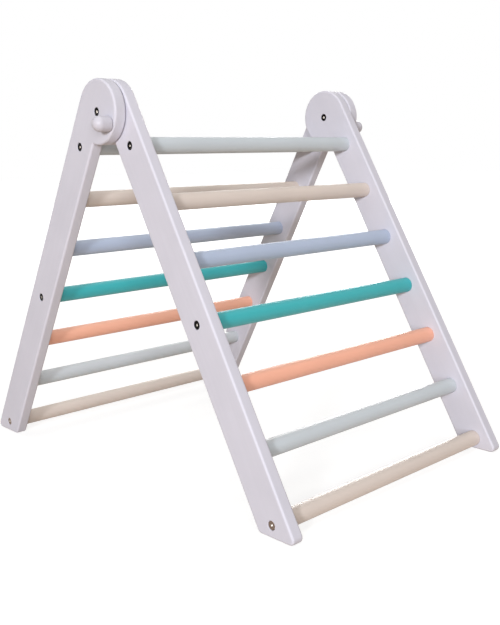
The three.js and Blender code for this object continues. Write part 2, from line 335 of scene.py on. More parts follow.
def draw_round(centre, turn):
    """Carries the end of an outline round a centre."""
    bpy.ops.mesh.spin(steps=edge_steps, angle=turn, center=centre, axis=(1, 0, 0))


def rail_blank(ladder):
    """Round head, straight board and level foot, with all edges rounded. A right-hand rail."""
    facing = ladders[ladder]
    inner, outer = rail_faces(ladder)
    bpy.ops.mesh.primitive_circle_add(
        vertices=head_sides, radius=head_reach, location=(inner, 0, 0), rotation=(0, math.pi / 2, 0)
    )
    blank = settle(bpy.context.object)
    blank.name = f"{ladder}_rail_blank"
    shape(blank)

    # The part of the circle where the board goes on
    def under_board(corner):
        return facing * corner.co.y > rail_inner_edge and corner.co.z < -same_place
    pick(blank, "VERT", under_board)
    bpy.ops.mesh.delete(type="VERT")

    # From the circle's last corner to the notch and down the inner edge, round the heel, along the
    # floor and round the toe. The last face closes the outline along the climbing edge.
    def at(out, height):
        return Vector((inner, facing * out, height))
    ring = [corner.co.copy() for corner in bmesh.from_edit_mesh(blank.data).verts if corner.co.z < 0]
    last = max(ring, key=lambda place: facing * place.y)
    pick(blank, "VERT", lambda corner: (corner.co - last).length < merge_distance)
    notch = draw_to(last, at(rail_inner_edge, -math.sqrt(head_reach**2 - rail_inner_edge**2)))
    heel_turn = math.pi / 2 - lean_angle
    toe_turn = math.pi / 2 + lean_angle
    heel_height = foot_radius * math.tan(heel_turn / 2) - floor_drop(rail_inner_edge)
    toe_height = foot_radius * math.tan(toe_turn / 2) - floor_drop(head_radius)
    draw_to(notch, at(rail_inner_edge, heel_height))
    heel_centre = at(rail_inner_edge + foot_radius, heel_height)
    toe_centre = at(head_radius - foot_radius, toe_height)
    draw_round(heel_centre, -facing * heel_turn)
    draw_to(heel_centre, toe_centre)
    draw_round(toe_centre, -facing * toe_turn)
    bpy.ops.mesh.select_all(action="SELECT")
    bpy.ops.mesh.edge_face_add()

    bpy.ops.mesh.select_mode(type="FACE")
    bpy.ops.mesh.select_all(action="SELECT")
    extrude(outer - inner, 0, 0)
    bpy.ops.mesh.select_all(action="SELECT")
    bpy.ops.mesh.normals_make_consistent(inside=False)

    # The two rims
    def on_rim(edge):
        return near(edge.verts[0].co.x, edge.verts[1].co.x)
    pick(blank, "EDGE", on_rim)
    bpy.ops.mesh.bevel(offset=edge_radius, segments=edge_steps, affect="EDGES")
    done()
    return blank


def rung_sockets(ladder):
    """Blind sockets in the inner face, with a softened mouth."""
    inner, _ = rail_faces(ladder)
    radius = rung_radius + glue_line
    cutters = []
    for index in range(rung_count):
        stations = [
            (radius + mouth_chamfer + overrun, -overrun),
            (radius, mouth_chamfer),
            (radius, socket_depth + fit_gap),
        ]
        socket = turned(f"{ladder}_socket_{index}", stations, rung_sides)
        cutters.append(point_out(socket, 1, inner, *rung_place(ladder, index)))
    return joined(cutters, f"{ladder}_sockets")


def head_seat(name, shank_radius, reach):
    """A recess for a screw's head with a hole for its shank. The face is at z = 0 and the hole runs down."""
    seat_radius = screw_head_radius + fit_gap
    floor = -(head_recess + screw_head_height)
    stations = [
        (seat_radius + mouth_chamfer + overrun, overrun),
        (seat_radius, -mouth_chamfer),
        (seat_radius, floor),
        (shank_radius, floor),
        (shank_radius, -reach),
    ]
    return turned(name, stations)


def screw_seats(ladder):
    inner, outer = rail_faces(ladder)
    shank_radius = screw_radius + fit_gap
    reach = outer - inner - socket_depth + overrun
    cutters = []
    for index in filter(is_screwed, range(rung_count)):
        seat = head_seat(f"{ladder}_seat_{index}", shank_radius, reach)
        cutters.append(point_out(seat, 1, outer, *rung_place(ladder, index)))
    return joined(cutters, f"{ladder}_seats")


def lock_place(angle, towards):
    return towards * lock_radius * math.sin(angle), -lock_radius * math.cos(angle)


def groove_cutters():
    """The curved groove in the outer face of the front rail's head: a spun channel and its two round ends."""
    _, outer = rail_faces("front")
    facing = ladders["front"]
    half_width = stud_radius + fit_gap
    sweep = fold_angle + groove_spare
    y, z = lock_place(front_lock_angle, facing)
    depth = groove_depth + overrun
    ends = []
    for angle in (front_lock_angle, front_lock_angle + sweep):
        end_y, end_z = lock_place(angle, facing)
        stations = [(half_width, -groove_depth), (half_width, overrun)]
        end = turned(f"groove_end_{len(ends)}", stations)
        ends.append(point_out(end, 1, outer, end_y, end_z))
    bpy.ops.mesh.primitive_plane_add(
        size=1, location=(outer + overrun - depth / 2, y, z), rotation=(math.atan2(z, y), 0, 0)
    )
    channel = bpy.context.object
    channel.name = "groove_channel"
    channel.scale = (depth, 2 * half_width, 1)
    settle(channel)
    shape(channel)
    bpy.ops.mesh.select_all(action="SELECT")
    bpy.ops.mesh.spin(steps=groove_steps, angle=-facing * sweep, center=(0, 0, 0), axis=(1, 0, 0))
    bpy.ops.mesh.select_all(action="SELECT")
    bpy.ops.mesh.remove_doubles(threshold=merge_distance)
    bpy.ops.mesh.fill_holes(sides=0)
    bpy.ops.mesh.select_all(action="SELECT")
    bpy.ops.mesh.normals_make_consistent(inside=False)
    done()
    return [joined(ends, "groove_ends"), channel]


def pivot_seat(ladder, shank_radius):
    """The pivot's hole, with the head's recess in a rear rail's outer face or a front rail's inner one."""
    inner, outer = rail_faces(ladder)
    seat = head_seat(f"{ladder}_pivot_seat", shank_radius, outer - inner + overrun)
    if ladder == "rear":
        return point_out(seat, 1, outer)
    return point_out(seat, -1, inner)


def insert_seat():
    """The stepped hole for the threaded insert in the rear rail's head."""
    inner, outer = rail_faces("rear")
    stations = [
        (insert_flange_radius + fit_gap, -overrun),
        (insert_flange_radius + fit_gap, insert_flange_thickness + fit_gap),
        (insert_radius + fit_gap, insert_flange_thickness + fit_gap),
        (insert_radius + fit_gap, outer - inner + overrun),
    ]
    place = lock_place(front_lock_angle + 2 * lean_angle, -ladders["rear"])
    return point_out(turned("insert_seat", stations), 1, inner, *place)


def make_rails():
    rails = {}
    for ladder in ladders:
        rail = rail_blank(ladder)
        rail.name = f"painted_{ladder}_rail_right"
        if ladder == "front":
            others = [pivot_seat(ladder, sleeve_radius + fit_gap), *groove_cutters()]
        else:
            others = [pivot_seat(ladder, bolt_radius + fit_gap), insert_seat()]
        for cutter in [rung_sockets(ladder), screw_seats(ladder), *others]:
            cut(rail, cutter)
        merge_and_face_out(rail)
        lean(rail, ladder)
        twin = mirrored(rail, f"painted_{ladder}_rail_left")
        merge_and_face_out(twin)
        for side, piece in (("right", rail), ("left", twin)):
            smooth_faces(piece)
            rails[ladder, side] = piece
    return rails


# Rungs

def bar(ladder, index):
    """A turned bar with eased ends, and a screw's bore in each end where it has one."""
    low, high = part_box(f"{ladder}_rung_{index + 1}")
    half = high.x
    bpy.ops.mesh.primitive_cylinder_add(
        vertices=rung_sides, radius=rung_radius, depth=high.x - low.x, rotation=(0, math.pi / 2, 0)
    )
    rung = settle(bpy.context.object)
    shape(rung)
    pick(rung, "EDGE", lambda edge: near(edge.verts[0].co.x, edge.verts[1].co.x))
    bpy.ops.mesh.bevel(offset=rung_chamfer, segments=fine_steps, affect="EDGES")
    if is_screwed(index):
        bore_radius = screw_radius + fit_gap
        inner, outer = rail_faces(ladder)
        rail_under_head = outer - inner - socket_depth - head_recess - screw_head_height
        for side in sides.values():
            pick(rung, "FACE", lambda face: near(face.calc_center_median().x, side * half))
            bpy.ops.mesh.inset(thickness=rung_radius - rung_chamfer - bore_radius)
            extrude(-side * (screw_length - rail_under_head + fit_gap), 0, 0)
    done()
    return rung


def make_rungs():
    rungs = {}
    for ladder in ladders:
        patterns = {screwed: bar(ladder, 0 if screwed else 1) for screwed in (True, False)}
        for index in range(rung_count):
            rung = copied(patterns[is_screwed(index)], f"painted_{ladder}_rung_{index + 1}")
            y, z = rung_place(ladder, index)
            rung.location = (0, y, z)
            settle(rung)
            lean(rung, ladder)
            smooth_faces(rung)
            rungs[ladder, index] = rung
        for pattern in patterns.values():
            bpy.data.objects.remove(pattern)
    return rungs


# Screws, bolts and nuts

def key_cutter(key, top):
    """A six-sided drive socket with a drilled bottom and an eased mouth, down from z = top."""
    corner_radius = key / 2 / math.cos(math.pi / key_sides)
    straight = key_depth - head_edge / 2
    bpy.ops.mesh.primitive_cylinder_add(
        vertices=key_sides, radius=corner_radius, depth=straight,
        location=(0, 0, top - key_depth + straight / 2),
    )
    cutter = settle(bpy.context.object)
    shape(cutter)
    pick(cutter, "FACE", lambda face: near(face.calc_center_median().z, top - key_depth))
    extrude(0, 0, -key_tip)
    bpy.ops.transform.resize(
        value=(key_tip_share, key_tip_share, 1), center_override=(0, 0, top - key_depth - key_tip)
    )
    pick(cutter, "FACE", lambda face: near(face.calc_center_median().z, top - head_edge / 2))
    flare = (corner_radius + head_edge / 2 + overrun) / corner_radius
    extrude(0, 0, head_edge / 2 + overrun)
    bpy.ops.transform.resize(value=(flare, flare, 1), center_override=(0, 0, top + overrun))
    done()
    return cutter


def mark_painted_socket_highlight(piece, key):
    """Notes on its faces where the drive socket is, for a painted highlight there that stands for light
    caught in the socket.
    """
    reach = key * socket_reach_share
    mouth = screw_head_height - head_edge * socket_rim_share
    mark = piece.data.attributes.new("painted_socket_highlight", "FLOAT", "FACE")
    for face in piece.data.polygons:
        inside = face.center.xy.length < reach and -key_tip < face.center.z < mouth
        mark.data[face.index].value = 1.0 if inside else 0.0


def cap_head(piece, key):
    """Rounds the rim of a head whose under face is at z = 0, and cuts its drive socket."""
    round_rings(piece, [(screw_head_radius, screw_head_height)], head_edge, rim_steps)
    cut(piece, key_cutter(key, screw_head_height))
    merge_and_face_out(piece)
    mark_painted_socket_highlight(piece, key)
    return piece


def wood_screw(name):
    stations = [
        (screw_radius * screw_tip_share, -screw_length),
        (screw_radius, screw_tip - screw_length),
        (screw_radius, 0),
        (screw_head_radius, 0),
        (screw_head_radius, screw_head_height),
    ]
    return cap_head(turned(name, stations), screw_key)


def pivot_bolt(name, length):
    stations = [
        (bolt_radius - head_edge, -length),
        (bolt_radius, head_edge - length),
        (bolt_radius, 0),
        (screw_head_radius, 0),
        (screw_head_radius, screw_head_height),
    ]
    return cap_head(turned(name, stations), pivot_key)


def sleeve_nut(name):
    stations = [
        (bolt_radius + fit_gap, -sleeve_floor),
        (bolt_radius + fit_gap, -sleeve_length),
        (sleeve_radius, -sleeve_length),
        (sleeve_radius, 0),
        (screw_head_radius, 0),
        (screw_head_radius, screw_head_height),
    ]
    return cap_head(turned(name, stations), pivot_key)


def washer(name, inner_radius, outer_radius, thickness):
    half = thickness / 2
    stations = [
        (inner_radius, -half),
        (outer_radius, -half),
        (outer_radius, half),
        (inner_radius, half),
        (inner_radius, -half),
    ]
    ring = turned(name, stations)
    round_rings(ring, stations[:-1], washer_edge, washer_steps)
    return ring


def make_screws():
    screws = {}
    pattern = wood_screw("screw_pattern")
    for ladder in ladders:
        _, outer = rail_faces(ladder)
        seat = outer - head_recess - screw_head_height
        for index in filter(is_screwed, range(rung_count)):
            for side_name, side in sides.items():
                screw = copied(pattern, f"{ladder}_rail_screw_{index + 1}_{side_name}")
                point_out(screw, side, side * seat, *rung_place(ladder, index))
                lean(screw, ladder)
                smooth_faces(screw)
                screws[ladder, index, side_name] = screw
    bpy.data.objects.remove(pattern)
    return screws


def make_pivots():
    """Bolt, nut and washer on each side, made about the pivot line."""
    front_inner, _ = rail_faces("front")
    _, rear_outer = rail_faces("rear")
    head_depth = head_recess + screw_head_height
    nut_mouth = front_inner + head_depth + sleeve_length
    into_nut = sleeve_length - sleeve_floor - fit_gap
    bolt_length = rear_outer - head_depth - (nut_mouth - into_nut)
    parts = {}
    for side_name, side in sides.items():
        bolt = pivot_bolt(f"black_pivot_bolt_{side_name}", bolt_length)
        parts["pivot_bolt", side_name] = point_out(bolt, side, side * (rear_outer - head_depth))
        nut = sleeve_nut(f"black_pivot_nut_{side_name}")
        parts["pivot_nut", side_name] = point_out(nut, -side, side * (front_inner + head_depth))
        low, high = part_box(f"pivot_washer_{side_name}")
        ring = washer(
            f"nylon_pivot_washer_{side_name}", bolt_radius + fit_gap, (high.z - low.z) / 2, high.x - low.x
        )
        parts["pivot_washer", side_name] = point_out(ring, side, (low.x + high.x) / 2)
    for part in parts.values():
        lean(part, "front")
        smooth_faces(part)
    return parts


# Lock

def round_knob(name, length):
    """Half a ball on a straight stem, with an eased rim round its base and the stud's bore in it."""
    equator = length - knob_radius
    bpy.ops.mesh.primitive_uv_sphere_add(
        segments=knob_sides, ring_count=knob_sides // 2, radius=knob_radius, location=(0, 0, equator)
    )
    knob = settle(bpy.context.object)
    knob.name = name
    shape(knob)
    pick(knob, "VERT", lambda corner: corner.co.z < equator - same_place)
    bpy.ops.mesh.delete(type="VERT")
    pick(knob, "EDGE", lambda edge: all(near(corner.co.z, equator) for corner in edge.verts))
    extrude(0, 0, -equator)
    bpy.ops.mesh.edge_face_add()
    bpy.ops.mesh.inset(thickness=knob_radius - stud_radius - fit_gap)
    extrude(0, 0, knob_bore_depth)
    done()
    round_rings(knob, [(knob_radius, 0)], knob_edge, rim_steps)
    merge_and_face_out(knob)
    return knob


def threaded_stud(name):
    """A threaded rod from its tapered tip to its end in the knob, whose base is at z = 0."""
    low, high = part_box("lock_stud_right")
    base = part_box("lock_knob_right")[0].x
    bottom, top = low.x - base, high.x - base
    turns = math.ceil((top - bottom) / thread_pitch) + 2
    bpy.ops.mesh.primitive_circle_add(vertices=3, radius=stud_radius)
    stud = bpy.context.object
    stud.name = name
    shape(stud)
    bpy.ops.mesh.select_all(action="SELECT")
    bpy.ops.mesh.delete(type="EDGE_FACE")
    bpy.ops.mesh.select_all(action="SELECT")
    bpy.ops.mesh.merge(type="CENTER")
    root = stud_radius - thread_depth
    bpy.ops.transform.translate(value=(root, 0, 0))
    flat = thread_flat_share * thread_pitch
    flank = thread_flank_share * thread_pitch
    for x, z in ((0, flat), (thread_depth, flank), (0, flat), (-thread_depth, flank)):
        extrude(x, 0, z)
    done()
    modifier = stud.modifiers.new("thread", "SCREW")
    modifier.angle = 2 * math.pi
    modifier.screw_offset = thread_pitch
    modifier.iterations = turns
    modifier.steps = thread_sides
    modifier.render_steps = thread_sides
    modifier.use_merge_vertices = True
    modifier.merge_threshold = merge_distance
    take(stud)
    bpy.ops.object.modifier_apply(modifier=modifier.name)
    stud.location = (0, 0, bottom - thread_pitch)
    settle(stud)
    shape(stud)
    bpy.ops.mesh.select_all(action="SELECT")
    bpy.ops.mesh.remove_doubles(threshold=thread_merge_distance)
    bpy.ops.mesh.select_all(action="SELECT")
    bpy.ops.mesh.bisect(plane_co=(0, 0, top), plane_no=(0, 0, 1), use_fill=True, clear_outer=True)
    bpy.ops.mesh.select_all(action="SELECT")
    bpy.ops.mesh.bisect(
        plane_co=(0, 0, bottom + overrun), plane_no=(0, 0, 1), use_fill=True, clear_inner=True
    )
    def is_cut_end(face):
        return near(face.calc_center_median().z, bottom + overrun) and face.normal.z < faces_down
    pick(stud, "FACE", is_cut_end)
    extrude(0, 0, -overrun)
    bpy.ops.transform.resize(value=(stud_tip_share, stud_tip_share, 1), center_override=(0, 0, bottom))
    done()
    merge_and_face_out(stud)
    return stud


def threaded_insert(name):
    stations = [
        (stud_radius + fit_gap, 0),
        (insert_flange_radius, 0),
        (insert_flange_radius, insert_flange_thickness),
        (insert_radius, insert_flange_thickness),
        (insert_radius, insert_length),
        (stud_radius + fit_gap, insert_length),
        (stud_radius + fit_gap, 0),
    ]
    insert = turned(name, stations)
    round_rings(insert, [stations[1], stations[4]], fit_gap)
    return insert


def make_locks():
    parts = {}
    rear_inner, _ = rail_faces("rear")
    for side_name, side in sides.items():
        place = Vector(joints[f"{side_name}_lock_turn"]["pos_m"])
        knob_low, knob_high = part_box(f"lock_knob_{side_name}")
        base = knob_low.x if side > 0 else knob_high.x
        knob = round_knob(f"white_lock_knob_{side_name}", knob_high.x - knob_low.x)
        parts["lock_knob", side_name] = point_out(knob, side, base, place.y, place.z)
        stud = threaded_stud(f"plated_lock_stud_{side_name}")
        parts["lock_stud", side_name] = point_out(stud, side, base, place.y, place.z)
        low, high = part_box(f"lock_washer_{side_name}")
        radius = (high.z - low.z) / 2
        ring = washer(f"plated_lock_washer_{side_name}", stud_radius + fit_gap, radius, high.x - low.x)
        parts["lock_washer", side_name] = point_out(ring, side, (low.x + high.x) / 2, place.y, place.z)
        insert = threaded_insert(f"plated_lock_insert_{side_name}")
        parts["lock_insert", side_name] = point_out(insert, side, side * rear_inner, place.y, place.z)
    for part in parts.values():
        smooth_faces(part)
    return parts


# Finishes: the part of a noise pattern's values that is used
noise_range = (0.3, 0.7)
scuff_range = (0.35, 0.7)
gloss_range = (0.2, 0.8)

# Wood grain under paint, and how much of its relief is fibres
grain_stretch = (1, 1, 0.035)
growth_scale_share = 0.12
growth_bands = 9.0
fibre_share = 0.7

# Stipple, the edge mask (painted shade on painted wood, wear on metal) and the marks of turning
patch_scale_share = 0.06
peel_share = 0.4
edge_peak = 0.25  # the most that a share times the rest of it comes to
least_edge_wear_and_shade = 0.25
mark_stretch = (6, 1, 1)
scuff_scale_share = 0.35

# Painted wood: shades of its colour, and how strongly they show
thin_coat_shade = 0.965
thick_coat_shade = 1.03
band_shade = 0.93
band_strength = 0.22
# Painted shade on the rounded edges, darker to tone down the highlight that the lamps put there
painted_edge_shade = 0.95
painted_edge_shade_strength = 0.5
rubbed_polish = 0.25
grain_relief_share = 0.6

# Metal
scuffed_shade = 1.5
scuff_strength = 0.3
# the least share of the painted highlight in a drive socket
least_socket_highlight = 0.75


def srgb(red, green, blue):
    """A colour read on a screen, 0 to 255, as the linear values that a shader takes, by sRGB's own curve."""
    def channel(value):
        share = value / 255
        return share / 12.92 if share <= 0.04045 else ((share + 0.055) / 1.055) ** 2.4
    return (channel(red), channel(green), channel(blue), 1)


def shade(colour, share):
    return (colour[0] * share, colour[1] * share, colour[2] * share, 1)


def add(tree, kind, **settings):
    node = tree.nodes.new(kind)
    for name, value in settings.items():
        setattr(node, name, value)
    return node


def feed(tree, socket, value):
    """Links a socket to another node's output, or sets it to a number, a vector or a colour."""
    if isinstance(value, bpy.types.NodeSocket):
        tree.links.new(value, socket)
    else:
        socket.default_value = value


def maths(tree, operation, first, second=0.0):
    node = add(tree, "ShaderNodeMath", operation=operation)
    feed(tree, node.inputs[0], first)
    feed(tree, node.inputs[1], second)
    return node.outputs[0]


def blended(tree, first, second, share):
    """This share of the first value and the rest of the second."""
    return maths(
        tree, "ADD", maths(tree, "MULTIPLY", first, share), maths(tree, "MULTIPLY", second, 1 - share)
    )


def ranged(tree, value, start, end):
    """Carries a value from one (low, high) to another, and no further."""
    node = add(tree, "ShaderNodeMapRange")
    names = ("Value", "From Min", "From Max", "To Min", "To Max")
    for name, entry in zip(names, (value, *start, *end)):
        feed(tree, node.inputs[name], entry)
    return node.outputs["Result"]


def mixed(tree, share, first, second):
    node = add(tree, "ShaderNodeMix", data_type="RGBA")
    feed(tree, node.inputs["Factor"], share)
    colours = [socket for socket in node.inputs if socket.type == "RGBA"]
    feed(tree, colours[0], first)
    feed(tree, colours[1], second)
    return next(socket for socket in node.outputs if socket.type == "RGBA")


def noise(tree, vector, scale, detail=2.0, roughness=0.5):
    node = add(tree, "ShaderNodeTexNoise")
    for name, entry in (("Vector", vector), ("Scale", scale), ("Detail", detail), ("Roughness", roughness)):
        feed(tree, node.inputs[name], entry)
    return node.outputs["Fac"]


def moved(tree, vector, rotation=(0, 0, 0), scale=(1, 1, 1)):
    node = add(tree, "ShaderNodeMapping")
    feed(tree, node.inputs["Vector"], vector)
    node.inputs["Rotation"].default_value = rotation
    node.inputs["Scale"].default_value = scale
    return node.outputs["Vector"]


def effect_group(name, inputs, outputs):
    """An empty effect with named inputs and outputs, and its input and output nodes."""
    tree = bpy.data.node_groups.new(name, "ShaderNodeTree")
    for socket_name, kind in inputs:
        tree.interface.new_socket(socket_name, in_out="INPUT", socket_type=kind)
    for socket_name, kind in outputs:
        tree.interface.new_socket(socket_name, in_out="OUTPUT", socket_type=kind)
    return tree, add(tree, "NodeGroupInput"), add(tree, "NodeGroupOutput")


def make_grain_effect():
    """Wood fibres and growth bands that show faintly through paint. The grain runs along Z."""
    tree, into, out = effect_group(
        "grain_under_paint",
        [("Vector", "NodeSocketVector"), ("Fibre Scale", "NodeSocketFloat")],
        [("Height", "NodeSocketFloat"), ("Bands", "NodeSocketFloat")],
    )
    stretched = moved(tree, into.outputs["Vector"], scale=grain_stretch)
    fibres = noise(tree, stretched, into.outputs["Fibre Scale"], detail=4.0, roughness=0.62)
    broad = maths(tree, "MULTIPLY", into.outputs["Fibre Scale"], growth_scale_share)
    growth = noise(tree, stretched, broad, roughness=0.45)
    rings = maths(tree, "PINGPONG", maths(tree, "MULTIPLY", growth, growth_bands), 1.0)
    feed(tree, out.inputs["Height"], blended(tree, fibres, rings, fibre_share))
    feed(tree, out.inputs["Bands"], rings)
    return tree


def make_stipple_effect():
    """The fine orange peel of rolled or sprayed paint, and how its gloss varies."""
    tree, into, out = effect_group(
        "paint_stipple",
        [("Vector", "NodeSocketVector"), ("Size Scale", "NodeSocketFloat")],
        [("Height", "NodeSocketFloat"), ("Gloss", "NodeSocketFloat")],
    )
    peel = noise(tree, into.outputs["Vector"], into.outputs["Size Scale"], roughness=0.55)
    broad = maths(tree, "MULTIPLY", into.outputs["Size Scale"], patch_scale_share)
    patches = noise(tree, into.outputs["Vector"], broad, detail=3.0, roughness=0.6)
    feed(tree, out.inputs["Height"], peel)
    feed(tree, out.inputs["Gloss"], blended(tree, peel, patches, peel_share))
    return tree


def make_coat_effect():
    """Where a coat is a little thicker or thinner, in soft patches across the piece."""
    tree, into, out = effect_group(
        "uneven_coat",
        [("Vector", "NodeSocketVector"), ("Patch Scale", "NodeSocketFloat")],
        [("Cover", "NodeSocketFloat")],
    )
    patches = noise(tree, into.outputs["Vector"], into.outputs["Patch Scale"], detail=3.0, roughness=0.55)
    feed(tree, out.inputs["Cover"], ranged(tree, patches, noise_range, (0, 1)))
    return tree


def make_edge_effect():
    """A mask of the rounded edges between the faces towards X and the sides, broken up in patches. On painted
    wood it carries painted shade, on metal wear.
    """
    tree, into, out = effect_group(
        "edge_wear_and_shade_mask",
        [("Vector", "NodeSocketVector"), ("Normal", "NodeSocketVector"), ("Break Scale", "NodeSocketFloat")],
        [("Edge", "NodeSocketFloat")],
    )
    parts = add(tree, "ShaderNodeSeparateXYZ")
    feed(tree, parts.inputs[0], into.outputs["Normal"])
    towards = maths(tree, "MULTIPLY", parts.outputs["X"], parts.outputs["X"])
    rounding = maths(tree, "MULTIPLY", towards, maths(tree, "SUBTRACT", 1.0, towards))
    ridge = maths(tree, "MULTIPLY", rounding, 1 / edge_peak)
    broken = noise(tree, into.outputs["Vector"], into.outputs["Break Scale"], detail=4.0, roughness=0.6)
    # Patchy share of the edge mask: painted shade on painted wood, wear on metal
    wear = ranged(tree, broken, scuff_range, (least_edge_wear_and_shade, 1))
    feed(tree, out.inputs["Edge"], maths(tree, "MULTIPLY", ridge, wear))
    return tree


def make_tooling_effect():
    """Fine turning marks and scuffs on metal."""
    tree, into, out = effect_group(
        "tool_marks",
        [("Vector", "NodeSocketVector"), ("Mark Scale", "NodeSocketFloat")],
        [("Height", "NodeSocketFloat"), ("Scuff", "NodeSocketFloat")],
    )
    stretched = moved(tree, into.outputs["Vector"], scale=mark_stretch)
    marks = noise(tree, stretched, into.outputs["Mark Scale"], detail=5.0, roughness=0.7)
    broad = maths(tree, "MULTIPLY", into.outputs["Mark Scale"], scuff_scale_share)
    scuffs = noise(tree, into.outputs["Vector"], broad, detail=3.0, roughness=0.6)
    feed(tree, out.inputs["Height"], marks)
    feed(tree, out.inputs["Scuff"], ranged(tree, scuffs, scuff_range, (0, 1)))
    return tree


def place_effect(tree, effect, **values):
    node = add(tree, "ShaderNodeGroup", node_tree=effect)
    for name, value in values.items():
        feed(tree, node.inputs[name.replace("_", " ").title()], value)
    return node


def new_material(name):
    material = bpy.data.materials.new(name)
    material.use_nodes = True
    tree = material.node_tree
    shader = next(node for node in tree.nodes if node.type == "BSDF_PRINCIPLED")
    coordinates = add(tree, "ShaderNodeTexCoord")
    return material, tree, shader, coordinates


def bumped(tree, shader, height, strength, distance):
    bump = add(tree, "ShaderNodeBump")
    bump.inputs["Strength"].default_value = strength
    bump.inputs["Distance"].default_value = distance
    feed(tree, bump.inputs["Height"], height)
    feed(tree, shader.inputs["Normal"], bump.outputs["Normal"])


def painted_wood(name, colour, along, fibre_scale=420.0, gloss=(0.42, 0.58), sheen=0.2):
    """Satin paint on wood. Along turns the piece's coordinates so that its grain lies along Z."""
    material, tree, shader, coordinates = new_material(name)
    place = moved(tree, coordinates.outputs["Object"], rotation=along)
    grain = place_effect(tree, effects["grain"], vector=place, fibre_scale=fibre_scale)
    stipple = place_effect(tree, effects["stipple"], vector=place, size_scale=520.0)
    coat = place_effect(tree, effects["coat"], vector=place, patch_scale=9.0)
    edge = place_effect(
        tree, effects["edge"], vector=place, normal=coordinates.outputs["Normal"], break_scale=60.0
    )
    thin, thick = shade(colour, thin_coat_shade), shade(colour, thick_coat_shade)
    cover = mixed(tree, coat.outputs["Cover"], thin, thick)
    bands = maths(tree, "MULTIPLY", grain.outputs["Bands"], band_strength)
    banded = mixed(tree, bands, cover, shade(colour, band_shade))
    # Painted shade: the rounded edges are darkened, to tone down their lit highlight
    edge_wear_and_shade = maths(tree, "MULTIPLY", edge.outputs["Edge"], painted_edge_shade_strength)
    feed(tree, shader.inputs["Base Color"], mixed(tree, edge_wear_and_shade, banded, shade(colour, painted_edge_shade)))
    smoother = maths(tree, "MULTIPLY", edge.outputs["Edge"], rubbed_polish)
    polish = maths(tree, "SUBTRACT", stipple.outputs["Gloss"], smoother)
    feed(tree, shader.inputs["Roughness"], ranged(tree, polish, gloss_range, gloss))
    relief = blended(tree, grain.outputs["Height"], stipple.outputs["Height"], grain_relief_share)
    bumped(tree, shader, relief, strength=0.35, distance=0.12 * MM)
    shader.inputs["Specular IOR Level"].default_value = sheen
    shader.inputs["Coat Weight"].default_value = 0.01
    shader.inputs["Coat Roughness"].default_value = 0.3
    return material


def lacquer(name, colour):
    """Smooth lacquer of the lock knobs."""
    material, tree, shader, coordinates = new_material(name)
    place = coordinates.outputs["Object"]
    coat = place_effect(tree, effects["coat"], vector=place, patch_scale=70.0)
    stipple = place_effect(tree, effects["stipple"], vector=place, size_scale=700.0)
    thin, thick = shade(colour, 0.97), shade(colour, 1.02)
    feed(tree, shader.inputs["Base Color"], mixed(tree, coat.outputs["Cover"], thin, thick))
    feed(tree, shader.inputs["Roughness"], ranged(tree, stipple.outputs["Gloss"], gloss_range, (0.38, 0.5)))
    bumped(tree, shader, stipple.outputs["Height"], strength=0.15, distance=0.08 * MM)
    shader.inputs["Specular IOR Level"].default_value = 0.35
    shader.inputs["Coat Weight"].default_value = 0.06
    shader.inputs["Coat Roughness"].default_value = 0.25
    return material


def metal(name, colour, worn_colour, socket_highlight_colour, wear, gloss):
    """Oxide or plate on turned steel, brighter where its edges are rubbed, with a painted highlight in its
    drive socket.
    """
    material, tree, shader, coordinates = new_material(name)
    place = coordinates.outputs["Object"]
    marks = place_effect(tree, effects["tooling"], vector=place, mark_scale=900.0)
    edge = place_effect(
        tree, effects["edge"], vector=place, normal=coordinates.outputs["Normal"], break_scale=700.0
    )
    scuffs = maths(tree, "MULTIPLY", marks.outputs["Scuff"], scuff_strength)
    scuffed = mixed(tree, scuffs, colour, shade(colour, scuffed_shade))
    edge_wear_and_shade = mixed(tree, maths(tree, "MULTIPLY", edge.outputs["Edge"], wear), scuffed, worn_colour)
    # Painted highlight: a near-white colour on the drive socket's faces, for light caught in the socket
    socket = add(tree, "ShaderNodeAttribute", attribute_name="painted_socket_highlight")
    socket_highlight_share = ranged(tree, marks.outputs["Scuff"], (0, 1), (least_socket_highlight, 1))
    highlighted = mixed(tree, maths(tree, "MULTIPLY", socket.outputs["Fac"], socket_highlight_share), edge_wear_and_shade, socket_highlight_colour)
    feed(tree, shader.inputs["Base Color"], highlighted)
    feed(tree, shader.inputs["Roughness"], ranged(tree, marks.outputs["Scuff"], (0, 1), gloss))
    bumped(tree, shader, marks.outputs["Height"], strength=0.2, distance=0.05 * MM)
    shader.inputs["Metallic"].default_value = 1
    return material


def moulded_nylon(name, colour):
    material, tree, shader, coordinates = new_material(name)
    place = coordinates.outputs["Object"]
    coat = place_effect(tree, effects["coat"], vector=place, patch_scale=120.0)
    stipple = place_effect(tree, effects["stipple"], vector=place, size_scale=1500.0)
    feed(tree, shader.inputs["Base Color"], mixed(tree, coat.outputs["Cover"], shade(colour, 0.94), colour))
    feed(tree, shader.inputs["Roughness"], ranged(tree, stipple.outputs["Gloss"], gloss_range, (0.45, 0.6)))
    bumped(tree, shader, stipple.outputs["Height"], strength=0.2, distance=0.05 * MM)
    return material


